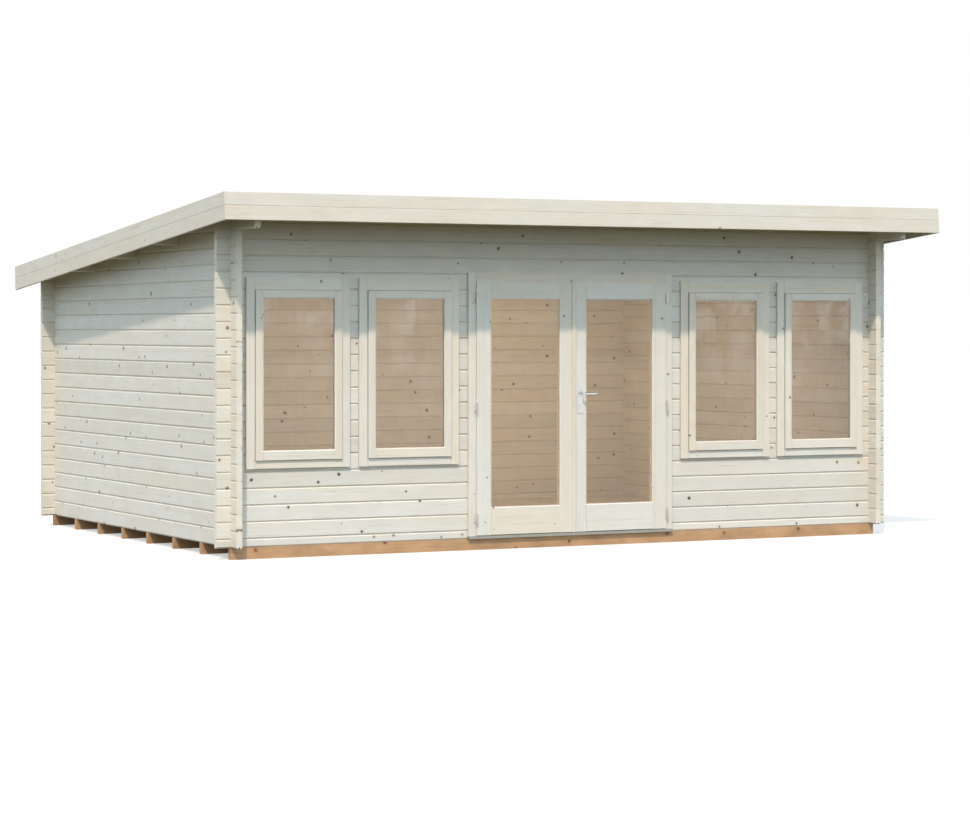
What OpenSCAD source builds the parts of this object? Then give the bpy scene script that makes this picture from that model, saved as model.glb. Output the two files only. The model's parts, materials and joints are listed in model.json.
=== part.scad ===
// Log cabin with a single-slope roof, a glazed double door and four casement windows.
// Sizes are in millimetres. X runs along the front wall, Y to the back, Z up from the joists' underside.

/* [Walls] */
// Length of the side walls over their log ends
side_len = 4000; // [3000:10:6000]
// Thickness of a wall log
log_t = 44; // [38:1:70]
// Height of one log course
course_h = 114; // [110:1:140]
// Log length beyond the centre of the wall it crosses
log_reach = 124; // [90:1:200]
// Full log courses in the front wall, above its half log
front_courses = 20; // [18:1:24]
// Full log courses in the rear wall, above its half log
rear_courses = 17; // [14:1:18]
// Hairline between pieces that bear on each other
hairline = 0.3; // [0.2:0.05:0.5]

/* [Log profile] */
// Width of the tongue along a log's top
tongue_w = 14; // [8:1:20]
// Height of the tongue
tongue_h = 9; // [4:1:14]
// Clearance of the groove around the tongue
tongue_play = 0.5; // [0.3:0.1:1]
// Height of the bevel along a log's upper edges
bevel_top = 7; // [2:0.5:12]
// Height of the bevel along a log's lower edges
bevel_low = 10; // [1:0.5:12]
// Depth of both bevels
bevel_d = 8; // [1:0.5:10]

/* [Roof] */
// Thickness of the roof deck
deck_t = 20; // [16:1:30]
// Roof beyond the centre of each side wall
verge_reach = 269; // [220:1:400]
// Roof beyond the centre of the front wall, along the slope
front_reach = 522; // [350:1:800]
// Roof beyond the centre of the rear wall, along the slope
rear_reach = 238; // [200:1:400]
// Thickness of a fascia board
fascia_t = 20; // [16:1:30]
// Height of the lower fascia board
fascia_low_h = 97; // [70:1:140]
// Height of the upper fascia board
fascia_top_h = 91; // [60:1:140]
// Number of purlins under the deck
purlins = 3; // [1:1:5]
// Extra width of the bays beside the front and the rear wall
purlin_bay = 120; // [0:10:300]
// Width of a purlin
purlin_w = 44; // [38:1:70]
// Height of a purlin
purlin_h = 154; // [90:1:180]
// Side courses, counted from the top, that run forward under the front overhang
eaves_courses = 2; // [1:1:3]
// Room between the tip of those logs and the front fascia
eaves_room = 14; // [5:1:60]
// Lean of the raked log ends from the roof's normal, in degrees
eaves_rake = 17; // [0:1:40]

/* [Floor] */
// Width of a floor joist
joist_w = 44; // [38:1:70]
// Height of a floor joist
joist_h = 80; // [60:1:140]
// Number of joists, with one under the front wall and one under the rear wall
joists = 8; // [4:1:12]
// Thickness of the floor
floor_t = 19; // [16:1:28]

/* [Windows] */
// Width of a window over its casing
window_w = 776; // [500:1:1200]
// Height of a window over its casing
window_h = 1310; // [900:1:1350]
// Lower edge of the window casing above the foot of the wall
window_z = 535; // [400:1:700]
// Wall between the outer window's casing and the centre of the side wall
window_edge = 86; // [80:1:400]
// Wall between the casings of a pair of windows
window_space = 71; // [65:1:400]
// Wall between the door's casing and the next window's casing
door_space = 75.5; // [65:0.5:400]
// Width of the casing beside the sash
casing_side = 63; // [50:1:80]
// Height of the casing over the sash
casing_top = 83; // [50:1:100]
// Height of the casing under the sash
casing_low = 55; // [50:1:80]
// Thickness of window and door casing
casing_t = 20; // [14:1:28]
// Casing that covers the log ends round an opening
casing_lap = 30; // [20:1:40]
// Sash face proud of the casing
sash_proud = 14; // [8:1:24]
// Play between a sash and its casing
sash_gap = 2; // [1:0.5:4]
// Frame behind the edge of a sash
sash_lap = 12; // [8:1:20]
// Sash edge to visible glass, at the sides and the top
sash_bar = 57; // [45:1:80]
// Sash edge to visible glass, at the bottom
sash_low = 68; // [50:1:100]

/* [Door] */
// Width of the double door over its casing
door_w = 1683; // [1200:1:2400]
// Height of the double door over its casing
door_h = 1892; // [1840:1:1950]
// Width of the door casing
door_casing = 62; // [50:1:80]
// Casing that covers the log over the door
door_head_lap = 11; // [8:1:20]
// Thickness of a door leaf
leaf_t = 44; // [38:1:50]
// Leaf face proud of the casing
leaf_proud = 14; // [11:0.5:24]
// Lip of a leaf over the casing beside it and above it
leaf_lap = 3; // [1:0.5:12]
// Running gap round a leaf
leaf_gap = 5; // [5:0.5:8]
// Hinge side of a leaf to visible glass
leaf_stile = 118; // [90:1:140]
// Centre of the doorway to visible glass
meeting_stile = 111; // [100:1:140]
// Top of a leaf to visible glass
leaf_top = 130; // [90:1:160]
// Bottom of a leaf to visible glass
leaf_low = 199; // [150:1:300]
// Meeting line of the leaves from the centre of the doorway
meeting_x = 18; // [0:1:30]
// Width of the cover strip on the meeting stile
cover_w = 28; // [20:1:60]
// Thickness of the cover strip
cover_t = 13; // [8:1:20]
// Projection of the stop behind the leaves
stop_w = 15; // [12:1:25]
// Height of the threshold
threshold_h = 20; // [14:1:30]
// Threshold in front of the casing
threshold_out = 4; // [2:1:40]

/* [Glazing] */
// Thickness of the glass
glass_t = 4; // [3:1:6]
// Width of a glazing bead
bead_w = 12; // [9:1:16]
// Depth of the bead and glass rebate from the face
rebate_d = 13; // [11:1:26]
// Bevel on the edges of boards
edge_bevel = 2; // [1:0.5:4]

/* [Hinges and handle] */
// Radius of a hinge barrel
barrel_r = 7; // [6:0.5:8]
// Height of one half of a hinge barrel
barrel_h = 40; // [30:1:60]
// Barrel closed over the end of its pin
barrel_cap = 4; // [2:0.5:10]
// Radius of a hinge pin
pin_r = 4; // [3:0.5:4.5]
// Running clearance of a hinge pin
pin_play = 0.1; // [0.05:0.05:0.3]
// Radius of the stems that a hinge is screwed in by
stem_r = 3.5; // [2.5:0.5:4]
// Depth of a stem in the wood
stem_in = 30; // [20:1:40]
// Hinge axis in front of the leaf's face
hinge_out = 9; // [9:0.5:12]
// End hinges from the leaf's ends
hinge_end = 116; // [80:1:300]
// Hinges on one leaf
hinges = 3; // [2:1:4]
// Width of the handle plates
plate_w = 40; // [30:1:50]
// Height of the handle plates
plate_h = 234; // [200:1:260]
// Thickness of the handle plates
plate_t = 4; // [3:1:8]
// Radius of the plates' corners
plate_corner = 10; // [2:0.5:14]
// Centre of the handle from the centre of the doorway
handle_x = 57; // [55:1:80]
// Lower end of the handle plates above the foot of the wall
plate_z = 881; // [800:1:1000]
// Lever axis above the lower end of the plates
lever_up = 145; // [120:1:170]
// Length of the lever's grip
lever_len = 122; // [90:1:130]
// Radius of the lever's grip
lever_r = 8; // [6:0.5:10]
// Lever axis to the leaf, out to the centre of the grip
lever_out = 48; // [40:1:60]
// Radius of the spindle through the leaf
spindle_r = 5; // [4:0.5:6]

/* [Hidden] */

$fn = 48;
spruce = "#e6dcc6";
pale_spruce = "#ece4d2";
treated = "#b98a58";
steel = "#b9bcc0";
grey_metal = "#8c9086";
pane = "#c9d6d880";

// Room for cutters to pass clear through what they cut
over = 60;
quarter = course_h / 4;
half_t = log_t / 2;
half_l = door_w / 2 + door_space + 2 * window_w + window_space + window_edge;
front_len = 2 * (half_l + log_reach);
depth = side_len - 2 * log_reach;
base = joist_h;
wall_top = base + course_h / 2 + front_courses * course_h;
slope = atan((front_courses - rear_courses) * course_h / depth);
run = depth / cos(slope);
fascia_h = fascia_low_h + fascia_top_h;
fascia_drop = fascia_h - deck_t - hairline;
roof_half = half_l + verge_reach;
reach_low = front_reach * cos(slope) + fascia_drop * sin(slope);
reach_high = (run + rear_reach) * cos(slope) + (deck_t + hairline) * sin(slope);
front_y = (reach_low - reach_high) / 2;
rear_y = front_y + depth;
face_y = front_y - half_t;
inner_y = front_y + half_t;

outer_window = half_l - window_edge - window_w / 2;
inner_window = outer_window - window_w - window_space;
window_xs = [-outer_window, -inner_window, inner_window, outer_window];
window_base = base + window_z;

door_open = door_w / 2 - casing_lap;
door_open_top = door_h - door_head_lap;
clear_half = door_w / 2 - door_casing;
clear_top = base + door_h - door_casing;
split_course = floor((door_open_top - course_h / 2) / course_h + hairline / course_h);
leaf_y = face_y - hairline - casing_t - leaf_proud;
leaf_back = leaf_y + leaf_t;
leaf_foot = base + threshold_h + leaf_gap;
leaf_head = clear_top + leaf_lap;
leaf_edge = clear_half + leaf_lap;
lip_t = leaf_proud - leaf_gap;
left_meet = meeting_x - leaf_gap / 2;
right_meet = meeting_x + leaf_gap / 2;
hinge_x = leaf_edge + leaf_gap / 2;
hinge_y = leaf_y - hinge_out;
hinge_step = (leaf_head - leaf_foot - 2 * hinge_end) / (hinges - 1);
hinge_zs = [for (i = [0 : hinges - 1]) leaf_foot + hinge_end + i * hinge_step];
pin_up = barrel_h - barrel_cap;
leaf_slant = 45;
frame_slant = 20;
stem_start = (barrel_r + pin_r + pin_play) / 2;
lever_z = base + plate_z + lever_up;

// Frame of the roof: X as before, Y down the slope, Z square to the deck, from the front wall's top
module in_roof() {
    translate([0, front_y, wall_top]) rotate([-slope, 0, 0]) children();
}

module above_roof() {
    reach = front_len + side_len;
    in_roof() translate([-reach, -reach, -hairline]) cube(2 * reach);
}

// Log section with a tongue on top, a groove below and bevelled edges
module log_section(h, grooved) {
    top = h - hairline;
    edge = half_t - bevel_d;
    groove = tongue_w / 2 + tongue_play;
    groove_h = tongue_h + tongue_play;
    foot = grooved ? [[-groove, 0], [-groove, groove_h], [groove, groove_h], [groove, 0]] : [];
    tongue = [[tongue_w / 2, top], [tongue_w / 2, top + tongue_h],
        [-tongue_w / 2, top + tongue_h], [-tongue_w / 2, top]];
    right = [[edge, 0], [half_t, bevel_low], [half_t, top - bevel_top], [edge, top]];
    left = [[-edge, top], [-half_t, top - bevel_top], [-half_t, bevel_low], [-edge, 0]];
    polygon(concat(foot, right, tongue, left));
}

module log_x(x0, x1, h, grooved) {
    translate([x0, 0, 0]) rotate([90, 0, 90]) linear_extrude(x1 - x0) log_section(h, grooved);
}

module log_y(y0, y1, h) {
    translate([0, y0, 0]) rotate([90, 0, 180]) linear_extrude(y1 - y0) log_section(h, true);
}

// Notches above and below the kept core where another wall crosses
module notch_x(low, high, h) {
    wide = log_t + 2 * hairline;
    translate([-wide / 2, -half_t - over, high]) cube([wide, log_t + 2 * over, h]);
    translate([-wide / 2, -half_t - over, low - h]) cube([wide, log_t + 2 * over, h]);
}

// Log of the front or rear wall, course -1 being the half log at the foot
module cross_log(course, x0, x1) {
    whole = course >= 0;
    h = whole ? course_h : course_h / 2;
    z0 = whole ? base + course_h / 2 + course * course_h : base;
    low = whole ? quarter + hairline / 2 : 0;
    high = h - quarter - hairline / 2;
    translate([0, 0, z0]) difference() {
        log_x(x0, x1, h, whole);
        for (side = [-1, 1]) translate([side * half_l, 0, 0]) notch_x(low, high, course_h);
    }
}

// Log of a side wall, whose courses lie half a course off those of the front
module side_log(course) {
    eaves = course > front_courses - eaves_courses;
    y0 = eaves ? -front_reach : -log_reach;
    low = quarter + hairline / 2;
    high = course_h - quarter - hairline / 2;
    translate([0, front_y, base + course * course_h]) difference() {
        log_y(y0, depth + log_reach, course_h);
        for (y = [0, depth]) translate([0, y, 0]) rotate([0, 0, 90]) notch_x(low, high, course_h);
    }
}

module purlin_bars(play) {
    size = [2 * (roof_half - fascia_t - hairline), purlin_w + 2 * play, purlin_h + 2 * play];
    step = (run - 2 * purlin_bay) / (purlins + 1);
    for (i = [1 : purlins]) {
        in_roof() translate([0, purlin_bay + step * i, -hairline - purlin_h / 2]) cube(size, center = true);
    }
}

// Everything in front of the raked ends of the logs under the overhang
module eaves_cut() {
    in_roof() translate([0, fascia_t + eaves_room - front_reach, 0]) rotate([eaves_rake, 0, 0])
        translate([-front_len, -2 * front_reach, -2 * front_reach])
            cube([2 * front_len, 2 * front_reach, 4 * front_reach]);
}

module side_wall(x) {
    difference() {
        translate([x, 0, 0]) for (course = [0 : front_courses]) side_log(course);
        above_roof();
        purlin_bars(hairline);
        eaves_cut();
    }
}

// Openings through the front wall
module window_holes() {
    for (x = window_xs) {
        translate([x - window_w / 2 + casing_lap, face_y - over, window_base + casing_lap])
            cube([window_w - 2 * casing_lap, log_t + 2 * over, window_h - 2 * casing_lap]);
    }
}

module door_hole() {
    translate([-door_open, face_y - over, 0]) cube([2 * door_open, log_t + 2 * over, base + door_open_top]);
}

module front_logs_left() {
    difference() {
        translate([0, front_y, 0])
            for (course = [-1 : split_course - 1]) cross_log(course, -front_len / 2, -door_open);
        window_holes();
    }
}

// Board that stands up, its back on the XZ plane and its face bevelled
module upright(w, h, t) {
    c = edge_bevel;
    linear_extrude(h) polygon([[0, 0], [w, 0], [w, c - t], [w - c, -t], [c, -t], [0, c - t]]);
}

// Board that lies along X, its back on the XZ plane and its face bevelled
module crosspiece(w, h, t) {
    c = edge_bevel;
    rotate([90, 0, 90]) linear_extrude(w)
        polygon([[0, 0], [c - t, 0], [-t, c], [-t, h - c], [c - t, h], [0, h]]);
}

// Four boards round an inner rectangle, the uprights running through
module board_ring(x0, x1, z0, z1, side, top, low, t) {
    between = x1 - x0 - 2 * (side + hairline);
    for (x = [x0, x1 - side]) translate([x, 0, z0]) upright(side, z1 - z0, t);
    translate([x0 + side + hairline, 0, z0]) crosspiece(between, low, t);
    translate([x0 + side + hairline, 0, z1 - top]) crosspiece(between, top, t);
}

// Mitred glazing bead along X, inward up, its back on the XZ plane
module bead(len) {
    d = rebate_d - glass_t - 2 * hairline;
    lip = d / 2;
    flat = bead_w / 3;
    intersection() {
        rotate([90, 0, 90]) linear_extrude(len)
            polygon([[0, 0], [0, bead_w], [-lip, bead_w], [-d, flat], [-d, 0]]);
        rotate([90, 0, 0]) linear_extrude(2 * rebate_d, center = true)
            polygon([[hairline, 0], [len - hairline, 0],
                [len - bead_w - hairline, bead_w], [bead_w + hairline, bead_w]]);
    }
}

module bead_ring(x0, x1, z0, z1) {
    translate([x0, 0, z0]) bead(x1 - x0);
    translate([x0, 0, z1]) mirror([0, 0, 1]) bead(x1 - x0);
    translate([x0, 0, z0]) rotate([0, -90, 0]) mirror([0, 0, 1]) bead(z1 - z0);
    translate([x1, 0, z0]) rotate([0, -90, 0]) bead(z1 - z0);
}

// Glazed frame: stiles, rails and beads, its face at y, with the visible glass in the rectangle g
// given as [x0, x1, z0, z1], inside the outer rectangle o
module glazed_frame(o, g, y, t) {
    r = bead_w;
    b = bead_w - hairline;
    difference() {
        translate([0, y + t, 0]) {
            translate([o[0], 0, o[2]]) upright(g[0] - o[0], o[3] - o[2], t);
            translate([g[1], 0, o[2]]) upright(o[1] - g[1], o[3] - o[2], t);
            translate([g[0] + hairline, 0, o[2]]) crosspiece(g[1] - g[0] - 2 * hairline, g[2] - o[2], t);
            translate([g[0] + hairline, 0, g[3]]) crosspiece(g[1] - g[0] - 2 * hairline, o[3] - g[3], t);
        }
        translate([g[0] - r, y - over, g[2] - r])
            cube([g[1] - g[0] + 2 * r, over + rebate_d, g[3] - g[2] + 2 * r]);
    }
    translate([0, y + rebate_d - glass_t - 2 * hairline, 0])
        bead_ring(g[0] - b, g[1] + b, g[2] - b, g[3] + b);
}

module glass_sheet(g, y) {
    b = bead_w - hairline;
    translate([g[0] - b, y + rebate_d - glass_t - hairline, g[2] - b])
        cube([g[1] - g[0] + 2 * b, glass_t, g[3] - g[2] + 2 * b]);
}

function sash_outer(x) = [
    x - window_w / 2 + casing_side + sash_gap,
    x + window_w / 2 - casing_side - sash_gap,
    window_base + casing_low + sash_gap,
    window_base + window_h - casing_top - sash_gap];

function sash_glass(x) = let (o = sash_outer(x))
    [o[0] + sash_bar, o[1] - sash_bar, o[2] + sash_low, o[3] - sash_bar];

// Window frame: casing outside, jambs through the wall, casing inside
module window_frame(x) {
    o = sash_outer(x);
    x0 = x - window_w / 2;
    x1 = x + window_w / 2;
    z0 = window_base;
    z1 = window_base + window_h;
    jx0 = x0 + casing_lap + hairline;
    jx1 = x1 - casing_lap - hairline;
    jz0 = z0 + casing_lap + hairline;
    jz1 = z1 - casing_lap - hairline;
    jamb = o[0] + sash_lap - jx0;
    jamb_top = jz1 - o[3] + sash_lap;
    jamb_low = o[2] + sash_lap - jz0;
    color(pale_spruce) {
        translate([0, face_y - hairline, 0])
            board_ring(x0, x1, z0, z1, casing_side, casing_top, casing_low, casing_t);
        translate([0, inner_y, 0]) board_ring(jx0, jx1, jz0, jz1, jamb, jamb_top, jamb_low, log_t);
        translate([0, inner_y + hairline, 0]) mirror([0, 1, 0])
            board_ring(x0, x1, z0, z1,
                casing_lap + jamb, casing_lap + jamb_top, casing_lap + jamb_low, casing_t);
    }
}

module window_sash(x) {
    y = face_y - hairline - casing_t - sash_proud;
    color(pale_spruce) glazed_frame(sash_outer(x), sash_glass(x), y, casing_t + sash_proud);
}

module window_glass(x) {
    color(pane) glass_sheet(sash_glass(x), face_y - hairline - casing_t - sash_proud);
}

function leaf_rect(x0, x1) = [x0, x1, leaf_foot, leaf_head];

function leaf_glass(side) = [
    side < 0 ? leaf_stile - leaf_edge : meeting_stile,
    side < 0 ? -meeting_stile : leaf_edge - leaf_stile,
    leaf_foot + leaf_low, leaf_head - leaf_top];

// Slanted stems that hold the hinges, those of the leaf above those of the frame
module hinge_stems(side, r, on_leaf) {
    slant = on_leaf ? leaf_slant : frame_slant;
    out = on_leaf ? hinge_out : hinge_out + leaf_proud;
    for (z = hinge_zs) {
        translate([side * hinge_x, hinge_y, on_leaf ? z + barrel_h / 2 : z - barrel_h / 2])
            rotate([-90, 0, side * (on_leaf ? slant : -slant)])
                translate([0, 0, stem_start]) cylinder(r = r, h = out / cos(slant) + stem_in - stem_start);
    }
}

// Cuts the rebate behind the lip of a leaf, along its hinge side and its head
module leaf_rebate(side) {
    x = clear_half - leaf_gap;
    y = leaf_y + lip_t;
    translate([side > 0 ? x : -x - over, y, leaf_foot - over])
        cube([over, leaf_t, leaf_head - leaf_foot + 2 * over]);
    translate([-clear_half - over, y, clear_top - leaf_gap])
        cube([2 * (clear_half + over), leaf_t, over]);
}

module leaf_bars(side, x0, x1) {
    difference() {
        glazed_frame(leaf_rect(x0, x1), leaf_glass(side), leaf_y, leaf_t);
        leaf_rebate(side);
        hinge_stems(side, stem_r + hairline, true);
        if (side > 0) translate([handle_x, leaf_y - over, lever_z]) rotate([-90, 0, 0])
            cylinder(r = spindle_r + leaf_gap, h = leaf_t + 2 * over);
    }
}

module floor_joists() {
    color(treated) for (i = [0 : joists - 1]) {
        translate([-half_l - half_t, front_y + depth * i / (joists - 1) - joist_w / 2, 0])
            cube([2 * half_l + log_t, joist_w, joist_h - hairline]);
    }
}

module floor_slab() {
    x = half_l - half_t - hairline;
    color(spruce) translate([-x, inner_y + hairline, base])
        cube([2 * x, depth - log_t - 2 * hairline, floor_t]);
}

module front_left_logs() {
    color(spruce) front_logs_left();
}

module front_right_logs() {
    color(spruce) mirror([1, 0, 0]) front_logs_left();
}

module front_top_logs() {
    color(spruce) difference() {
        translate([0, front_y, 0])
            for (course = [split_course : front_courses - 1])
                cross_log(course, -front_len / 2, front_len / 2);
        door_hole();
        window_holes();
        above_roof();
    }
}

module rear_wall_logs() {
    color(spruce) difference() {
        translate([0, rear_y, 0])
            for (course = [-1 : rear_courses - 1]) cross_log(course, -front_len / 2, front_len / 2);
        above_roof();
    }
}

module left_wall_logs() {
    color(spruce) side_wall(-half_l);
}

module right_wall_logs() {
    color(spruce) side_wall(half_l);
}

module purlin_set() {
    color(spruce) purlin_bars(0);
}

module roof_deck() {
    x = roof_half - fascia_t - hairline;
    edge = fascia_t + hairline - front_reach;
    color(spruce) in_roof() translate([-x, edge, 0])
        cube([2 * x, front_reach + run + rear_reach - 2 * (fascia_t + hairline), deck_t]);
}

// Two fascia boards one above the other, along X, their backs on the XZ plane
module fascia_pair(len) {
    translate([0, 0, -fascia_drop]) crosspiece(len, fascia_low_h - hairline, fascia_t);
    translate([0, 0, fascia_low_h - fascia_drop]) crosspiece(len, fascia_top_h - hairline, fascia_t);
}

module front_fascia() {
    color(pale_spruce) in_roof() translate([-roof_half, fascia_t - front_reach, 0])
        fascia_pair(2 * roof_half);
}

// Upper board only, between the fascias of the verges
module rear_fascia() {
    len = 2 * (roof_half - fascia_t - hairline);
    color(pale_spruce) in_roof() translate([len / 2, run + rear_reach - fascia_t, fascia_low_h - fascia_drop])
        rotate([0, 0, 180]) crosspiece(len, fascia_top_h - hairline, fascia_t);
}

module verge_fascia() {
    y = fascia_t + hairline - front_reach;
    in_roof() translate([roof_half - fascia_t, y, 0]) rotate([0, 0, 90])
        fascia_pair(front_reach + run + rear_reach - fascia_t - hairline);
}

module left_fascia() {
    color(pale_spruce) mirror([1, 0, 0]) verge_fascia();
}

module right_fascia() {
    color(pale_spruce) verge_fascia();
}

// Jambs and head of the doorway, each with its stop behind the leaves
module door_frame() {
    stop_y = leaf_back + leaf_gap;
    foot = base + threshold_h + hairline;
    jamb = door_open - hairline - clear_half;
    head = door_open_top + base - hairline - clear_top;
    color(pale_spruce) {
        for (side = [0, 1]) mirror([side, 0, 0]) difference() {
            translate([-clear_half, 0, foot]) linear_extrude(clear_top - foot - hairline)
                polygon([[-jamb, face_y], [0, face_y], [0, stop_y],
                    [stop_w, stop_y], [stop_w, inner_y], [-jamb, inner_y]]);
            hinge_stems(-1, stem_r + hairline, false);
        }
        translate([-clear_half - jamb, face_y, clear_top]) cube([2 * (clear_half + jamb), log_t, head]);
        translate([-clear_half + stop_w + hairline, stop_y, clear_top - stop_w])
            cube([2 * (clear_half - stop_w - hairline), inner_y - stop_y, stop_w - hairline]);
    }
}

// Casing round the doorway, outside and inside
module door_casing_boards(y, foot) {
    x = door_w / 2;
    translate([0, y, 0]) {
        for (x0 = [-x, x - door_casing]) {
            translate([x0, 0, foot]) upright(door_casing, base + door_h - foot, casing_t);
        }
        translate([-clear_half + hairline, 0, clear_top])
            crosspiece(2 * (clear_half - hairline), door_casing, casing_t);
    }
}

module door_casing_set() {
    color(pale_spruce) {
        difference() {
            door_casing_boards(face_y - hairline, base + threshold_h + hairline);
            for (side = [-1, 1]) hinge_stems(side, stem_r + hairline, false);
        }
        mirror([0, 1, 0]) door_casing_boards(-inner_y - hairline, base + floor_t + hairline);
    }
}

module door_threshold() {
    x = door_w / 2;
    xi = door_open - hairline;
    out = face_y - hairline - casing_t - threshold_out;
    lip = face_y - hairline;
    color(grey_metal) translate([0, 0, base]) linear_extrude(threshold_h)
        polygon([[-x, out], [x, out], [x, lip], [xi, lip],
            [xi, inner_y], [-xi, inner_y], [-xi, lip], [-x, lip]]);
}

// Lower hinge halves with their pins, fixed to the frame
module door_hinge_pins() {
    color(steel) for (side = [-1, 1]) {
        for (z = hinge_zs) translate([side * hinge_x, hinge_y, 0]) {
            translate([0, 0, z - barrel_h]) cylinder(r = barrel_r, h = barrel_h);
            translate([0, 0, z - barrel_h / 2]) cylinder(r = pin_r, h = barrel_h / 2 + pin_up);
        }
        hinge_stems(side, stem_r, false);
    }
}

// Upper hinge halves, bored for the pins and fixed to a leaf
module leaf_hinges(side) {
    color(steel) {
        for (z = hinge_zs) translate([side * hinge_x, hinge_y, z + hairline]) difference() {
            cylinder(r = barrel_r, h = barrel_h);
            translate([0, 0, -hairline]) cylinder(r = pin_r + pin_play, h = pin_up + 2 * hairline);
        }
        hinge_stems(side, stem_r, true);
    }
}

module left_leaf() {
    color(pale_spruce) leaf_bars(-1, -leaf_edge, left_meet);
}

module left_leaf_glass() {
    color(pane) glass_sheet(leaf_glass(-1), leaf_y);
}

module right_leaf() {
    color(pale_spruce) leaf_bars(1, right_meet, leaf_edge);
}

module right_leaf_glass() {
    color(pane) glass_sheet(leaf_glass(1), leaf_y);
}

// Strip along the edge of the left leaf's meeting stile
module door_cover_strip() {
    color(pale_spruce) translate([left_meet - cover_w, leaf_y - hairline, leaf_foot])
        upright(cover_w, leaf_head - leaf_foot, cover_t);
}

module plate_outline() {
    r = plate_corner;
    for (x = [r, plate_w - r], z = [r, plate_h - r]) translate([x, z]) circle(r);
    translate([r, 0]) square([plate_w - 2 * r, plate_h]);
    translate([0, r]) square([plate_w, plate_h - 2 * r]);
}

module handle_plates() {
    color(steel) for (y = [leaf_y - hairline, leaf_back + hairline + plate_t]) difference() {
        translate([handle_x - plate_w / 2, y, base + plate_z]) rotate([90, 0, 0])
            linear_extrude(plate_t) plate_outline();
        translate([handle_x, y + over, lever_z]) rotate([90, 0, 0])
            cylinder(r = lever_r + hairline, h = 2 * over);
    }
}

// Levers inside and outside on one spindle
module lever_handle() {
    neck = lever_out + leaf_t / 2;
    color(steel) translate([handle_x, leaf_y + leaf_t / 2, lever_z]) {
        rotate([90, 0, 0]) cylinder(r = spindle_r, h = leaf_t, center = true);
        for (side = [0, 1]) mirror([0, side, 0]) {
            translate([0, -leaf_t / 2, 0]) rotate([90, 0, 0]) cylinder(r = lever_r, h = lever_out);
            translate([0, -neck, 0]) sphere(lever_r);
            translate([0, -neck, 0]) rotate([0, 90, 0]) cylinder(r = lever_r, h = lever_len - 2 * lever_r);
            translate([lever_len - 2 * lever_r, -neck, 0]) sphere(lever_r);
        }
    }
}

floor_joists();
floor_slab();  // floor
front_left_logs();
front_right_logs();
front_top_logs();
rear_wall_logs();
left_wall_logs();
right_wall_logs();
purlin_set();  // purlins
roof_deck();
front_fascia();
rear_fascia();
left_fascia();
right_fascia();
door_frame();
door_casing_set();  // door_casing
door_threshold();
door_hinge_pins();
left_leaf();
left_leaf_glass();
leaf_hinges(-1);  // left_leaf_hinges
door_cover_strip();
right_leaf();
right_leaf_glass();
leaf_hinges(1);  // right_leaf_hinges
handle_plates();
lever_handle();
window_frame(window_xs[0]);  // window_1_frame
window_sash(window_xs[0]);  // window_1_sash
window_glass(window_xs[0]);  // window_1_glass
window_frame(window_xs[1]);  // window_2_frame
window_sash(window_xs[1]);  // window_2_sash
window_glass(window_xs[1]);  // window_2_glass
window_frame(window_xs[2]);  // window_3_frame
window_sash(window_xs[2]);  // window_3_sash
window_glass(window_xs[2]);  // window_3_glass
window_frame(window_xs[3]);  // window_4_frame
window_sash(window_xs[3]);  // window_4_sash
window_glass(window_xs[3]);  // window_4_glass
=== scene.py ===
"""Looks of the log cabin: spruce with grain and knots, treated joists, glass, metal, boards, light and camera."""

import json
import math
import random

import bmesh
import bpy
from mathutils import Matrix, Vector

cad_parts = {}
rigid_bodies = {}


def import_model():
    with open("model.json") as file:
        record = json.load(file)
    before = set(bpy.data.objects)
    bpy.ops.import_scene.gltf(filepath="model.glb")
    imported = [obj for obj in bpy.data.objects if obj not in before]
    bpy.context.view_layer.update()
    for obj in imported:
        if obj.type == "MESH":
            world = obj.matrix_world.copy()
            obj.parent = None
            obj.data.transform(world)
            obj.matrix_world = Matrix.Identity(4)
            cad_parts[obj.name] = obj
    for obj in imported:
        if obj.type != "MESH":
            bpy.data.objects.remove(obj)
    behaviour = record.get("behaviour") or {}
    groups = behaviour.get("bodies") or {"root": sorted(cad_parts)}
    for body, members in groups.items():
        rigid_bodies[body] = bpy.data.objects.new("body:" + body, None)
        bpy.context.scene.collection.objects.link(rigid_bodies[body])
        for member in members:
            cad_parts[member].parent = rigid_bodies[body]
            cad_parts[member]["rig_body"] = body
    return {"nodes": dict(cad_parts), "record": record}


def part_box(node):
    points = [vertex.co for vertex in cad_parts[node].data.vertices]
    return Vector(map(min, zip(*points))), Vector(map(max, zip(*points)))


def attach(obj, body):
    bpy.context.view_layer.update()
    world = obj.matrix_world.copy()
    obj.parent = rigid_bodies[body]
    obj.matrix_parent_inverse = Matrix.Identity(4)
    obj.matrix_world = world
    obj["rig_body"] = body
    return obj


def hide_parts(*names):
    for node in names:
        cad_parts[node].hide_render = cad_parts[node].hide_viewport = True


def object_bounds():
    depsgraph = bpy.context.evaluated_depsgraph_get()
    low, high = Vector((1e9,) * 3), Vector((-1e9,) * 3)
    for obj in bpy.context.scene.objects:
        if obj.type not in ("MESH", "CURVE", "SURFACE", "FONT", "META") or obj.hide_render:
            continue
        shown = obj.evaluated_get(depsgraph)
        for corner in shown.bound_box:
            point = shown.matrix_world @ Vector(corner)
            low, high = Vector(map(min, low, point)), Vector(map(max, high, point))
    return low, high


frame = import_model()
cad_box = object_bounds()

RNG = random.Random(5)
MM = 0.001

# Camera, from the photograph: level, with the horizon above the middle of the picture
CAMERA_AT = (-9.7785, -19.4309, 1.5797)
CAMERA_YAW = math.radians(27.177)
CAMERA_LENS = 103.465
CAMERA_SHIFT = -0.09126

# Light: a sun high on the left of the front, a pale sky, and three soft panels in the room
SUN_SIDE = math.radians(36.3)
SUN_HEIGHT = math.radians(51.3)
SUN_SPREAD = math.radians(2.0)
SUN_STRENGTH = 2.68
SUN_COLOUR = (1.0, 0.875, 0.765)
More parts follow.
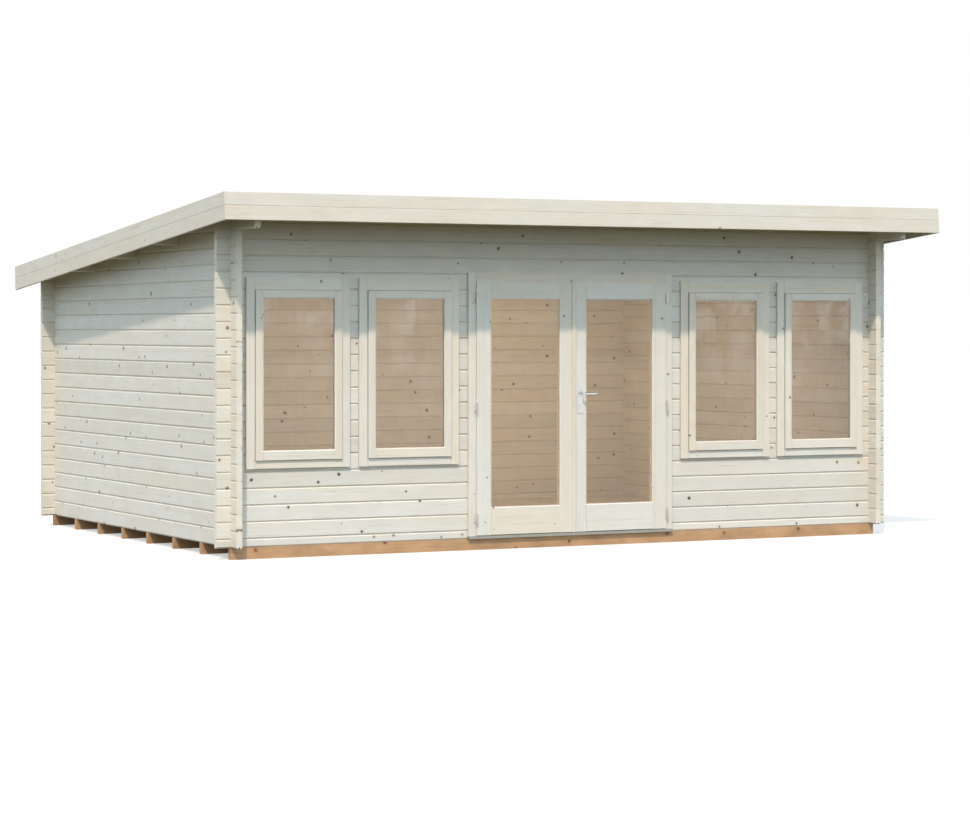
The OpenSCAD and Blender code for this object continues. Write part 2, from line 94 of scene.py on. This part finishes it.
# Colours of the sky by the sine of their height, and how much brighter it is in front
SKY = ((0.0, (0.70, 0.85, 0.98)), (0.2, (1.10, 1.37, 1.67)), (0.75, (0.78, 0.98, 1.24)))
SKY_FRONT = 1.23
# The sky's share of light goes from 1 at the first of these Y directions to SKY_FRONT at the second
SKY_TURN = (0.1, -0.9)
# Panels: their powers, their shares of the room's size, and their places from the room's sides and front wall
ROOM_LIGHT_BACK = 17.0
ROOM_LIGHT_UP = 7.0
ROOM_LIGHT_DOWN = 24.0
ROOM_BACK_SHARE = 0.40
ROOM_SHARE = 0.85
ROOM_TOP = 1.95
ROOM_ASIDE = 0.3
ROOM_BEHIND = 0.15
ROOM_GAP = 0.05
ROOM_COLOUR = (1.0, 0.82, 0.64)

SLOTS = {row["node"]: row["material_slot"] for row in frame["record"]["subparts"]}


def add_camera():
    """Camera at the photograph's viewing angle."""
    data = bpy.data.cameras.new("camera")
    data.sensor_width = 36.0
    data.lens = CAMERA_LENS
    data.shift_y = CAMERA_SHIFT
    data.clip_end = 500.0
    camera = bpy.data.objects.new("camera", data)
    camera.location = CAMERA_AT
    camera.rotation_euler = (math.pi / 2, 0.0, -CAMERA_YAW)
    bpy.context.scene.collection.objects.link(camera)
    bpy.context.scene.camera = camera


class Graph:
    """A material's node tree, with short calls for the nodes used here."""

    def __init__(self, name):
        self.material = bpy.data.materials.new(name)
        self.material.use_nodes = True
        self.tree = self.material.node_tree
        self.tree.nodes.clear()

    def add(self, kind, settings=None, **inputs):
        made = self.tree.nodes.new(kind)
        for key, value in (settings or {}).items():
            setattr(made, key, value)
        for key, value in inputs.items():
            self.put(made.inputs[key.replace("_", " ")], value)
        return made

    def put(self, socket, value):
        if isinstance(value, bpy.types.NodeSocket):
            self.tree.links.new(value, socket)
        else:
            socket.default_value = value

    def math(self, operation, *values):
        made = self.tree.nodes.new("ShaderNodeMath")
        made.operation = operation
        for socket, value in zip(made.inputs, values):
            self.put(socket, value)
        return made.outputs[0]

    def spread(self, value, low, high, to_low=0.0, to_high=1.0, smooth=False):
        made = self.tree.nodes.new("ShaderNodeMapRange")
        made.interpolation_type = "SMOOTHSTEP" if smooth else "LINEAR"
        for socket, given in zip(made.inputs, (value, low, high, to_low, to_high)):
            self.put(socket, given)
        return made.outputs[0]

    def mix(self, share, first, second, blend="MIX"):
        made = self.tree.nodes.new("ShaderNodeMix")
        made.data_type = "RGBA"
        made.blend_type = blend
        self.put(made.inputs[0], share)
        self.put(made.inputs[6], first)
        self.put(made.inputs[7], second)
        return made.outputs[2]

    def vector(self, x, y, z):
        made = self.tree.nodes.new("ShaderNodeCombineXYZ")
        for socket, value in zip(made.inputs, (x, y, z)):
            self.put(socket, value)
        return made.outputs[0]

    def stretch(self, x, times_x, y, times_y, z):
        """Place in a pattern that is drawn out or pressed together in two directions."""
        return self.vector(self.math("MULTIPLY", x, times_x), self.math("MULTIPLY", y, times_y), z)

    def split(self, value):
        made = self.tree.nodes.new("ShaderNodeSeparateXYZ")
        self.put(made.inputs[0], value)
        return made.outputs

    def attribute(self, name):
        return self.add("ShaderNodeAttribute", {"attribute_name": name})

    def noise(self, vector, scale, detail=2.0):
        made = self.add("ShaderNodeTexNoise", Scale=scale, Detail=detail, Vector=vector)
        return made.outputs["Fac"]

    def surface(self, shader):
        out = self.tree.nodes.new("ShaderNodeOutputMaterial")
        self.tree.links.new(shader, out.inputs["Surface"])
        return self.material


def rgb(colour):
    """Colour with full opacity."""
    return (*colour, 1.0)


WHITE = rgb((1.0, 1.0, 1.0))
# Range that most values of a noise lie in
NOISE = (0.3, 0.7)
# How far apart two pieces lie in the pattern of the wood, in metres along and across
PIECES_ALONG = 41.0
PIECES_ACROSS = 23.0
# Knots: least size as a share of the largest, and core, rim and halo in radii
KNOT_LEAST = 0.3
KNOT_CORE = 0.7
KNOT_RIM = 1.25
KNOT_HALO = 3.5


def wood(name, early, late, rings=0.0045, contrast=0.5, knots=0.3, knot_r=0.012, knot_cells=6.0,
         knot_dark=(0.085, 0.060, 0.042), knot_live=(0.30, 0.19, 0.11), end=(1.03, 0.97, 0.88), rough=0.6, vary=0.14,
         streaks=0.55, blotch=0.03, tint=(1.0, 0.985, 0.965)):
    """Planed softwood: growth rings about a pith, knots that the grain flows round, fibre, and end grain, whose
    colour is also painted shade on faces marked as shaded sides.
    It reads each piece's own lengths: grain is along, across and through the piece, tone three random numbers."""
    g = Graph(name)
    along, across, through = g.split(g.attribute("grain").outputs["Vector"])
    tone_a, tone_b, tone_c = g.split(g.attribute("tone").outputs["Vector"])
    end_share = g.attribute("end").outputs["Fac"]
    far_along = g.math("MULTIPLY_ADD", tone_a, PIECES_ALONG, along)
    far_across = g.math("MULTIPLY_ADD", tone_b, PIECES_ACROSS, across)

    # Knots: some cells of a flat Voronoi pattern hold one
    cells = g.add("ShaderNodeTexVoronoi", {"voronoi_dimensions": "2D"}, Scale=knot_cells,
                  Vector=g.vector(far_along, far_across, 0.0))
    chance, size, kind = g.split(cells.outputs["Color"])
    reach = g.math("DIVIDE", cells.outputs["Distance"], knot_cells)
    ragged = g.noise(g.vector(far_along, far_across, through), 90.0)
    reach = g.math("MULTIPLY", reach, g.spread(ragged, *NOISE, 0.8, 1.25))
    here = g.math("LESS_THAN", chance, knots)
    radius = g.math("MULTIPLY", g.spread(size, 0.0, 1.0, KNOT_LEAST * knot_r, knot_r), here)
    radius = g.math("MAXIMUM", radius, 1e-5)
    core = g.spread(reach, radius, g.math("MULTIPLY", radius, KNOT_CORE))
    rim = g.spread(reach, g.math("MULTIPLY", radius, KNOT_RIM), radius)
    halo = g.spread(reach, g.math("MULTIPLY", radius, KNOT_HALO), radius, smooth=True)

    # Growth rings about a pith that lies off the middle of the piece
    sway = g.noise(g.stretch(far_along, 0.9, far_across, 5.0, through), 1.0)
    sway = g.math("MULTIPLY_ADD", sway, 0.05, -0.025)
    pith_across = g.spread(tone_b, 0.0, 1.0, -0.045, 0.045)
    pith_through = g.spread(tone_c, 0.0, 1.0, -0.060, -0.012)
    off_across = g.math("ADD", g.math("SUBTRACT", across, pith_across), sway)
    off_through = g.math("SUBTRACT", through, pith_through)
    off_square = g.math("MULTIPLY_ADD", off_across, off_across, g.math("MULTIPLY", off_through, off_through))
    turns = g.math("MULTIPLY_ADD", halo, 0.006, g.math("SQRT", off_square))
    phase = g.math("FRACT", g.math("DIVIDE", turns, rings))
    line = g.math("POWER", phase, 2.5)
    strong = g.noise(g.vector(g.math("MULTIPLY", turns, 90.0), tone_a, tone_c), 1.0, 1.0)
    line = g.math("MULTIPLY", line, g.spread(strong, 0.25, 0.75, 0.35, 1.0))

    # Slow changes of tone along the piece, and fibre
    slow = g.noise(g.stretch(far_along, 0.8, far_across, 9.0, tone_c), 1.6, 3.0)
    streak = g.noise(g.stretch(far_along, 5.0, far_across, 260.0, g.math("MULTIPLY", through, 260.0)), 1.0, 3.0)

    colour = g.mix(g.math("MULTIPLY", line, contrast), rgb(early), rgb(late))
    warm = g.mix(g.spread(slow, 0.35, 0.7), WHITE, (1.0, 0.955, 0.90, 1.0))
    colour = g.mix(1.0, colour, warm, "MULTIPLY")
    colour = g.mix(1.0, colour, g.mix(tone_c, WHITE, rgb(tint)), "MULTIPLY")
    light = g.math("ADD", g.spread(tone_a, 0.0, 1.0, 1.0 - vary, 1.0), g.spread(streak, *NOISE, -0.03, 0.03))
    colour = g.mix(1.0, colour, g.vector(light, light, light), "MULTIPLY")
    patch = g.noise(g.stretch(far_along, 6.0, far_across, 9.0, tone_c), 1.0, 3.0)
    shade = g.spread(patch, *NOISE, 1.0 - blotch, 1.0 + blotch)
    colour = g.mix(1.0, colour, g.vector(shade, shade, shade), "MULTIPLY")
    resin = g.noise(g.stretch(far_along, 2.6, far_across, 75.0, tone_b), 1.0, 3.0)
    resin = g.spread(resin, 0.60, 0.74, smooth=True)
    colour = g.mix(g.math("MULTIPLY", resin, streaks), colour, rgb(late))
    colour = g.mix(g.math("MULTIPLY", halo, 0.30), colour, rgb(late))
    knot = g.mix(g.math("GREATER_THAN", kind, 0.45), rgb(knot_live), rgb(knot_dark))
    colour = g.mix(g.math("MULTIPLY", rim, 0.75), colour, rgb(knot_dark))
    colour = g.mix(g.math("MULTIPLY", core, 0.9), colour, knot)
    # End faces take the end colour; so do the sideways faces of frames, sashes and casings, where it is painted shade
    cut_end = g.mix(1.0, colour, rgb(end), "MULTIPLY")
    colour = g.mix(end_share, colour, cut_end)

    height = g.math("MULTIPLY_ADD", streak, 0.6, g.math("MULTIPLY", line, -0.35))
    bump = g.add("ShaderNodeBump", Strength=0.35, Distance=0.0006, Height=height)
    shader = g.add("ShaderNodeBsdfPrincipled", Base_Color=colour, Normal=bump.outputs[0],
                   Roughness=g.spread(streak, *NOISE, rough - 0.05, rough + 0.08))
    shader.inputs["Specular IOR Level"].default_value = 0.3
    return g.surface(shader.outputs[0])


def metal(name, colour, rough):
    """Satin metal with faint brushing."""
    g = Graph(name)
    at = g.add("ShaderNodeTexCoord").outputs["Object"]
    x, y, z = g.split(at)
    brushed = g.noise(g.stretch(x, 900.0, y, 900.0, g.math("MULTIPLY", z, 60.0)), 1.0, 3.0)
    worn = g.noise(at, 14.0, 3.0)
    tint = g.spread(worn, *NOISE, 0.92, 1.04)
    shade = g.mix(1.0, rgb(colour), g.vector(tint, tint, tint), "MULTIPLY")
    bump = g.add("ShaderNodeBump", Strength=0.12, Distance=0.0002, Height=brushed)
    shader = g.add("ShaderNodeBsdfPrincipled", Base_Color=shade, Metallic=1.0, Normal=bump.outputs[0],
                   Roughness=g.spread(brushed, *NOISE, rough - 0.06, rough + 0.08))
    return g.surface(shader.outputs[0])


# Painted reflection on the glass, patches of extra coat shine that stand in for reflected clouds: place and fineness
# of its patches, and the heights between which it grows to its full shine
CLOUD_SHINE_SHIFT = 3.7
CLOUD_SHINE_SCALE = 6.0
CLOUD_SHINE_LOW = 1.10
CLOUD_SHINE_FULL = 1.75
CLOUD_SHINE_LEAST = 0.12


def glass(name, cloud_shine, dull, clear):
    """Clear sheet glass, wiped in streaks, with patches of extra coat shine that grow towards its top: a painted
    reflection of clouds.
    """
    g = Graph(name)
    x, y, z = g.split(g.add("ShaderNodeTexCoord").outputs["Object"])
    cloud = g.add("ShaderNodeTexNoise", Vector=g.vector(g.math("ADD", x, CLOUD_SHINE_SHIFT), y, z), Scale=CLOUD_SHINE_SCALE,
                  Detail=5.0, Distortion=0.5).outputs["Fac"]
    # Coat weight in patches that grows towards the top: the coat really reflects the white surround, but its patches
    # are painted reflection of clouds
    painted_cloud_shine = g.math("MULTIPLY", g.spread(cloud, 0.42, 0.70, smooth=True),
                  g.spread(z, CLOUD_SHINE_LOW, CLOUD_SHINE_FULL, CLOUD_SHINE_LEAST * cloud_shine, cloud_shine))
    wiped = g.noise(g.vector(g.math("MULTIPLY", x, 30.0), y, g.math("MULTIPLY", z, 6.0)), 1.0, 3.0)
    tint = g.mix(g.spread(wiped, *NOISE), rgb(dull), rgb(clear))
    shader = g.add("ShaderNodeBsdfPrincipled", Base_Color=tint, Roughness=0.0, IOR=1.5, Transmission_Weight=1.0,
                   Coat_Weight=painted_cloud_shine, Coat_Roughness=0.06, Coat_IOR=2.1)
    return g.surface(shader.outputs[0])


MATERIALS = {
    "spruce_log": wood("spruce_log", (0.770, 0.730, 0.637), (0.595, 0.497, 0.365), end=(1.07, 1.02, 0.96), vary=0.09),
    # The trim's end colour is also painted shade on the sideways faces of frames, sashes and casings
    "spruce_trim": wood("spruce_trim", (0.790, 0.748, 0.652), (0.640, 0.540, 0.402), knots=0.20, knot_r=0.008,
                        end=(0.82, 0.82, 0.83), vary=0.05, tint=(1.01, 0.945, 0.870)),
    "spruce_fascia": wood("spruce_fascia", (0.690, 0.640, 0.538), (0.552, 0.451, 0.323), knots=0.16, knot_r=0.010,
                          vary=0.03),
    "spruce_board": wood("spruce_board", (0.720, 0.640, 0.510), (0.540, 0.425, 0.285)),
    "spruce_deck": wood("spruce_deck", (0.560, 0.490, 0.380), (0.420, 0.325, 0.215), vary=0.18),
    "treated_wood": wood("treated_wood", (0.580, 0.345, 0.178), (0.314, 0.155, 0.066), knots=0.55, knot_r=0.018,
                         knot_dark=(0.14, 0.06, 0.028), knot_live=(0.30, 0.12, 0.050), end=(0.90, 0.92, 0.98),
                         blotch=0.16),
    # The number after the name is the strength of the painted cloud reflection
    "window_glass": glass("window_glass", 0.6, (0.800, 0.842, 0.874), (0.850, 0.880, 0.904)),
    "door_glass": glass("door_glass", 0.15, (0.96, 0.97, 0.95), (0.99, 0.99, 0.97)),
    "hardware_steel": metal("hardware_steel", (0.66, 0.67, 0.68), 0.30),
    "hinge_zinc": metal("hinge_zinc", (0.56, 0.545, 0.51), 0.55),
    # Near-black metal that paints the shade in the key slots
    "keyhole_painted_shade": metal("keyhole_painted_shade", (0.07, 0.07, 0.07), 0.45),
    "threshold_metal": metal("threshold_metal", (0.36, 0.37, 0.34), 0.45),
}

# Slope of the roof, from the two ends of the deck's upper face
DECK = [vert.co for vert in frame["nodes"]["roof_deck"].data.vertices]
DECK_FRONT = max(DECK, key=lambda place: place.z)
DECK_REAR = max(DECK, key=lambda place: place.y)
SLOPE = math.atan2(DECK_FRONT.z - DECK_REAR.z, DECK_REAR.y - DECK_FRONT.y)
TO_LEVEL = Matrix.Rotation(SLOPE, 4, "X")
LEVEL = Matrix.Identity(4)
ROOF_NODES = ("purlins", "front_fascia", "rear_fascia", "left_fascia", "right_fascia")
LOG_AXES = {
    "front_left_logs": 0, "front_right_logs": 0, "front_top_logs": 0, "rear_wall_logs": 0,
    "left_wall_logs": 1, "right_wall_logs": 1,
}


def link(obj):
    """Puts an object in the scene and hands it back."""
    bpy.context.scene.collection.objects.link(obj)
    return obj


def dress(obj, material, body, slot, *nodes):
    """Gives a finished piece its material and body and hides the nodes it stands for; the slot it is given is not
    used.
    """
    obj.data.materials.clear()
    obj.data.materials.append(MATERIALS[material])
    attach(obj, body)
    if nodes:
        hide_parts(*nodes)
    return obj


# Vertices closer than this are one, faces flatter than this are one, and edges sharper than this stay sharp
MERGE = 0.02 * MM
FLAT = math.radians(0.5)
SHARP = math.radians(35)


def node_copy(node):
    """Editable copy of a node's mesh with its doubled vertices joined."""
    bm = bmesh.new()
    bm.from_mesh(frame["nodes"][node].data)
    bmesh.ops.remove_doubles(bm, verts=bm.verts, dist=MERGE)
    return bm


def span(places):
    """Lowest and highest corner of some places."""
    return Vector(map(min, zip(*places))), Vector(map(max, zip(*places)))


def new_mesh(name, bm):
    """Mesh from an edited copy, without normals that belong to the shape before the edit."""
    mesh = bpy.data.meshes.new(name)
    bm.to_mesh(mesh)
    bm.free()
    if "custom_normal" in mesh.attributes:
        mesh.attributes.remove(mesh.attributes["custom_normal"])
    return mesh


def islands(bm):
    """The separate solids of a mesh, as lists of vertices."""
    bm.verts.index_update()
    seen = set()
    for first in bm.verts:
        if first.index in seen:
            continue
        seen.add(first.index)
        group, todo = [], [first]
        while todo:
            vert = todo.pop()
            group.append(vert)
            for edge in vert.link_edges:
                other = edge.other_vert(vert)
                if other.index not in seen:
                    seen.add(other.index)
                    todo.append(other)
        yield group


def grain_layers(bm):
    """New layers that the wood reads: grain and tone of the vertices, and for the faces end grain or painted side
    shade.
    """
    return (bm.verts.layers.float_vector.new("grain"), bm.verts.layers.float_vector.new("tone"),
            bm.faces.layers.float.new("end"))


END_OR_SIDE_COSINE = 0.9
# Nodes of boards whose sideways faces, along X, take the end colour as painted shade
SIDE_SHADED_NODES = [node for node in SLOTS if node.endswith(("_frame", "_sash", "_casing"))]


def timber(node):
    """Copy of a wooden node in which every solid knows its own grain direction and tone."""
    bm = node_copy(node)
    bmesh.ops.dissolve_limit(bm, angle_limit=FLAT, verts=bm.verts, edges=bm.edges)
    grain, tone, end = grain_layers(bm)
    level = TO_LEVEL if node in ROOF_NODES else LEVEL
    for group in islands(bm):
        places = [level @ vert.co for vert in group]
        low, high = span(places)
        size = high - low
        order = sorted(range(3), key=lambda axis: -size[axis])
        if node in LOG_AXES:
            length = LOG_AXES[node]
            order = [length, 2, 1 - length]
        middle = (low + high) / 2
        own = Vector([RNG.random() for _ in range(3)])
        for vert, place in zip(group, places):
            local = place - middle
            vert[grain] = Vector([local[axis] for axis in order])
            vert[tone] = own
        for face in {face for vert in group for face in vert.link_faces}:
            normal = level.to_3x3() @ face.normal
            # End grain on faces across the length; painted shade on the sideways faces of frames, sashes and casings
            end_or_shaded_side = abs(normal[order[0]]) > END_OR_SIDE_COSINE or (node in SIDE_SHADED_NODES and abs(normal.x) > END_OR_SIDE_COSINE)
            face[end] = 1.0 if end_or_shaded_side else 0.0
    for face in bm.faces:
        face.smooth = False
    mesh = new_mesh("timber_" + node, bm)
    piece = link(bpy.data.objects.new("timber_" + node, mesh))
    material = "spruce_fascia" if "fascia" in node else SLOTS[node]
    return dress(piece, material, frame["nodes"][node]["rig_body"], SLOTS[node], node)


def bars(name, rows):
    """One mesh of straight bars. A row is the bar's place, its length along X, and its section in Y and Z."""
    bm = bmesh.new()
    grain, tone, end = grain_layers(bm)
    for place, length, section in rows:
        own = Vector([RNG.random() for _ in range(3)])
        rings = []
        for u in (0.0, length):
            ring = []
            for v, w in section:
                vert = bm.verts.new(place @ Vector((u, v, w)))
                vert[grain] = Vector((u, v, w))
                vert[tone] = own
                ring.append(vert)
            rings.append(ring)
        for i in range(len(section)):
            j = (i + 1) % len(section)
            bm.faces.new((rings[0][i], rings[1][i], rings[1][j], rings[0][j]))
        for ring in rings:
            bm.faces.new(ring)[end] = 1.0
    bmesh.ops.recalc_face_normals(bm, faces=bm.faces)
    return link(bpy.data.objects.new(name, new_mesh(name, bm)))


# Boards: open joint between two, about how wide one is, and its bevels below and above
BOARD_JOINT = 0.8 * MM
FLOOR_BOARD = 112 * MM
FLOOR_BEVELS = (1 * MM, 2 * MM)
ROOF_BOARD = 96 * MM
ROOF_BEVELS = (4 * MM, 1 * MM)


def board_section(width, thick, low_bevel, top_bevel):
    """Section of a board about its middle, bevelled along its lower and upper edges."""
    w, t = (width - BOARD_JOINT) / 2, thick / 2
    return [(-w + low_bevel, -t), (w - low_bevel, -t), (w, -t + low_bevel), (w, t - top_bevel),
            (w - top_bevel, t), (-w + top_bevel, t), (-w, t - top_bevel), (-w, -t + low_bevel)]


ALONG_Y = Matrix.Rotation(math.pi / 2, 4, "Z")


def floor_boards():
    """Boards across the joists, front to back."""
    low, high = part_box("floor")
    size = high - low
    count = round(size.x / FLOOR_BOARD)
    width = size.x / count
    section = board_section(width, size.z, *FLOOR_BEVELS)
    middle_z = (low.z + high.z) / 2
    rows = []
    for i in range(count):
        place = Matrix.Translation((low.x + width * (i + 0.5), low.y, middle_z))
        rows.append((place @ ALONG_Y, size.y, section))
    dress(bars("floor_boards", rows), "spruce_board", "cabin", SLOTS["floor"], "floor")


def roof_boards():
    """Boards across the purlins, down the slope, with their bevelled faces to the room."""
    mesh = frame["nodes"]["roof_deck"].data
    places = [TO_LEVEL @ vert.co for vert in mesh.vertices]
    low, high = span(places)
    size = high - low
    count = round(size.x / ROOF_BOARD)
    width = size.x / count
    section = board_section(width, size.z, *ROOF_BEVELS)
    middle_z = (low.z + high.z) / 2
    from_level = TO_LEVEL.inverted()
    rows = []
    for i in range(count):
        place = Matrix.Translation((low.x + width * (i + 0.5), low.y, middle_z))
        rows.append((from_level @ place @ ALONG_Y, size.y, section))
    dress(bars("roof_boards", rows), "spruce_deck", "cabin", SLOTS["roof_deck"], "roof_deck")


def smooth_metal(node):
    """Copy of a metal node with rounded faces shaded smooth."""
    bm = node_copy(node)
    for face in bm.faces:
        face.smooth = True
    mesh = new_mesh("metal_" + node, bm)
    mesh.set_sharp_from_angle(angle=SHARP)
    piece = link(bpy.data.objects.new("metal_" + node, mesh))
    material = "hinge_zinc" if "hinge" in node else SLOTS[node]
    dress(piece, material, frame["nodes"][node]["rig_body"], SLOTS[node], node)


# Lock cylinder: how far it is below the lever, and its face, which stands proud of the plate, with a near-black slab
# on it as painted shade of its key slot
LEVER_TO_LOCK = 80 * MM
LOCK_R = 8.5 * MM
LOCK_W = 10 * MM
LOCK_DROP = 24 * MM
LOCK_PROUD = 3 * MM
LOCK_SUNK = 0.3 * MM
SLOT_W = 2 * MM
SLOT_H = 9 * MM
SLOT_PROUD = 0.2 * MM
ROUND_STEPS = 20
TAIL_STEPS = 8


# Corners of a square about its middle
SQUARE = ((-1, -1), (1, -1), (1, 1), (-1, 1))


def lock_outline():
    """Outline of a lock cylinder's face: a round top with a narrower tail below, about the middle of the round."""
    half = LOCK_W / 2
    start = -math.acos(half / LOCK_R)
    turn = math.pi - 2 * start
    outline = []
    for i in range(ROUND_STEPS + 1):
        angle = start + turn * i / ROUND_STEPS
        outline.append((LOCK_R * math.cos(angle), LOCK_R * math.sin(angle)))
    for i in range(TAIL_STEPS + 1):
        angle = math.pi * i / TAIL_STEPS
        outline.append((-half * math.cos(angle), -LOCK_DROP + half - half * math.sin(angle)))
    return outline


def prism(bm, outline, y0, y1, at):
    """Straight solid on an outline in X and Z, from one depth to the other."""
    rings = [[bm.verts.new((at.x + x, y, at.z + z)) for x, z in outline] for y in (y0, y1)]
    count = len(outline)
    for i in range(count):
        j = (i + 1) % count
        bm.faces.new((rings[0][i], rings[0][j], rings[1][j], rings[1][i]))
    bm.faces.new(rings[0])
    bm.faces.new(rings[1])


def lock():
    """Lock cylinder through both handle plates, with a near-black slab standing a little proud of each face as
    painted shade of a key slot.
    """
    low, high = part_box("handle_plates")
    lever_low, lever_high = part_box("lever_handle")
    at = Vector(((low.x + high.x) / 2, 0.0, (lever_low.z + lever_high.z) / 2 - LEVER_TO_LOCK))
    # A near-black slab proud of each face is painted shade of the key slot
    slit = [(x * SLOT_W / 2, z * SLOT_H / 2) for x, z in SQUARE]
    for name, material, outline, grow in (("lock_cylinder", "hardware_steel", lock_outline(), LOCK_PROUD),
                                          ("keyhole_shade_slabs", "keyhole_painted_shade", slit, LOCK_PROUD + SLOT_PROUD)):
        bm = bmesh.new()
        prism(bm, outline, low.y - grow, low.y + LOCK_SUNK, at)
        prism(bm, outline, high.y - LOCK_SUNK, high.y + grow, at)
        bmesh.ops.recalc_face_normals(bm, faces=bm.faces)
        piece = link(bpy.data.objects.new(name, new_mesh(name, bm)))
        dress(piece, material, "right_door", "hardware_steel")


def add_light():
    """The sun, and the soft panels in the room, which no view shows."""
    sun = bpy.data.lights.new("sun", "SUN")
    sun.energy = SUN_STRENGTH
    sun.angle = SUN_SPREAD
    sun.color = SUN_COLOUR
    lamp = link(bpy.data.objects.new("sun", sun))
    towards = Vector((-math.sin(SUN_SIDE) * math.cos(SUN_HEIGHT), -math.cos(SUN_SIDE) * math.cos(SUN_HEIGHT),
                      math.sin(SUN_HEIGHT)))
    lamp.rotation_mode = "QUATERNION"
    lamp.rotation_quaternion = towards.to_track_quat("Z", "Y")

    low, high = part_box("floor")
    size = high - low
    rise = ROOM_TOP - high.z
    middle = (low + high) / 2
    back_at = (ROOM_ASIDE, low.y + ROOM_BEHIND, high.z + rise / 2)
    up_at = (0.0, middle.y, high.z + ROOM_GAP)
    down_at = (0.0, middle.y, ROOM_TOP)
    floor_size = (ROOM_SHARE * size.x, ROOM_SHARE * size.y)
    back_size = (ROOM_BACK_SHARE * size.x, ROOM_SHARE * rise)
    for name, place, turn, panel, strength in (
        ("room_back", back_at, math.pi / 2, back_size, ROOM_LIGHT_BACK),
        ("room_up", up_at, math.pi, floor_size, ROOM_LIGHT_UP),
        ("room_down", down_at, 0.0, floor_size, ROOM_LIGHT_DOWN),
    ):
        room = bpy.data.lights.new(name, "AREA")
        room.shape = "RECTANGLE"
        room.size, room.size_y = panel
        room.energy = strength
        room.color = ROOM_COLOUR
        lamp = link(bpy.data.objects.new(name, room))
        lamp.location = place
        lamp.rotation_euler = (turn, 0.0, 0.0)
        lamp.visible_camera = False
        lamp.visible_glossy = False
        lamp.visible_transmission = False


def seen_share(tree):
    """1 for rays from the camera, from gloss or through glass, which see the plain white surround."""
    path = tree.nodes.new("ShaderNodeLightPath")
    share = path.outputs["Is Camera Ray"]
    for name in ("Is Glossy Ray", "Is Transmission Ray"):
        most = tree.nodes.new("ShaderNodeMath")
        most.operation = "MAXIMUM"
        tree.links.new(share, most.inputs[0])
        tree.links.new(path.outputs[name], most.inputs[1])
        share = most.outputs[0]
    return share


def add_world():
    """A pale sky that lights the cabin, behind a white surround for the camera."""
    world = bpy.data.worlds.new("world")
    bpy.context.scene.world = world
    world.use_nodes = True
    tree = world.node_tree
    tree.nodes.clear()
    place = tree.nodes.new("ShaderNodeTexCoord")
    axes = tree.nodes.new("ShaderNodeSeparateXYZ")
    tree.links.new(place.outputs["Generated"], axes.inputs[0])
    fade = tree.nodes.new("ShaderNodeValToRGB")
    marks = fade.color_ramp.elements
    while len(marks) < len(SKY):
        marks.new(1.0)
    for mark, (height, colour) in zip(marks, SKY):
        mark.position = height
        mark.color = rgb(colour)
    tree.links.new(axes.outputs["Z"], fade.inputs[0])
    front = tree.nodes.new("ShaderNodeMapRange")
    for socket, value in zip(front.inputs[1:5], (*SKY_TURN, 1.0, SKY_FRONT)):
        socket.default_value = value
    tree.links.new(axes.outputs["Y"], front.inputs["Value"])
    sky = tree.nodes.new("ShaderNodeBackground")
    tree.links.new(fade.outputs[0], sky.inputs["Color"])
    tree.links.new(front.outputs[0], sky.inputs["Strength"])
    white = tree.nodes.new("ShaderNodeBackground")
    white.inputs["Color"].default_value = WHITE
    mix = tree.nodes.new("ShaderNodeMixShader")
    tree.links.new(seen_share(tree), mix.inputs[0])
    tree.links.new(sky.outputs[0], mix.inputs[1])
    tree.links.new(white.outputs[0], mix.inputs[2])
    out = tree.nodes.new("ShaderNodeOutputWorld")
    tree.links.new(mix.outputs[0], out.inputs["Surface"])


# Floor: size, gap below the joists, colours for bounced light far from and near the cabin, and colour for the eye
FLOOR_HALF = 120.0
FLOOR_DROP = 1 * MM
FLOOR_GROUND = (0.066, 0.067, 0.030)
FLOOR_NEAR = (0.10, 0.09, 0.055)
FLOOR_NEAR_EDGE = 0.7
FLOOR_PALE = (0.95, 0.86, 0.76)
FLOOR_GLOW = 0.5


def add_floor():
    """Plain pale floor that keeps the cabin's shadow and bounces light as ground does."""
    g = Graph("floor_white")
    x, y, _ = g.split(g.add("ShaderNodeTexCoord").outputs["Object"])
    reach = cad_box[1]
    off_x = g.math("SUBTRACT", g.math("ABSOLUTE", x), reach[0])
    off_y = g.math("SUBTRACT", g.math("ABSOLUTE", y), reach[1])
    near = g.spread(g.math("MAXIMUM", off_x, off_y), 0.0, FLOOR_NEAR_EDGE, 1.0, 0.0, smooth=True)
    ground = g.add("ShaderNodeBsdfDiffuse", Color=g.mix(near, rgb(FLOOR_GROUND), rgb(FLOOR_NEAR)))
    pale = g.add("ShaderNodeBsdfDiffuse", Color=rgb(FLOOR_PALE))
    glow = g.add("ShaderNodeEmission", Color=WHITE)
    seen = g.add("ShaderNodeMixShader")
    seen.inputs[0].default_value = FLOOR_GLOW
    g.tree.links.new(pale.outputs[0], seen.inputs[1])
    g.tree.links.new(glow.outputs[0], seen.inputs[2])
    mix = g.add("ShaderNodeMixShader")
    g.tree.links.new(seen_share(g.tree), mix.inputs[0])
    g.tree.links.new(ground.outputs[0], mix.inputs[1])
    g.tree.links.new(seen.outputs[0], mix.inputs[2])
    material = g.surface(mix.outputs[0])
    mesh = bpy.data.meshes.new("stage_floor")
    corners = [(x * FLOOR_HALF, y * FLOOR_HALF, -FLOOR_DROP) for x, y in SQUARE]
    mesh.from_pydata(corners, [], [(0, 1, 2, 3)])
    mesh.materials.append(material)
    link(bpy.data.objects.new("stage_floor", mesh))


add_camera()
bpy.context.scene.view_settings.view_transform = "Standard"
for node, slot in SLOTS.items():
    if node in ("floor", "roof_deck"):
        continue
    if slot in ("hardware_steel", "threshold_metal"):
        smooth_metal(node)
    elif slot == "glass":
        frame["nodes"][node].data.materials.clear()
        frame["nodes"][node].data.materials.append(MATERIALS["door_glass" if "leaf" in node else "window_glass"])
    else:
        timber(node)
floor_boards()
roof_boards()
lock()
add_light()
add_world()
add_floor()
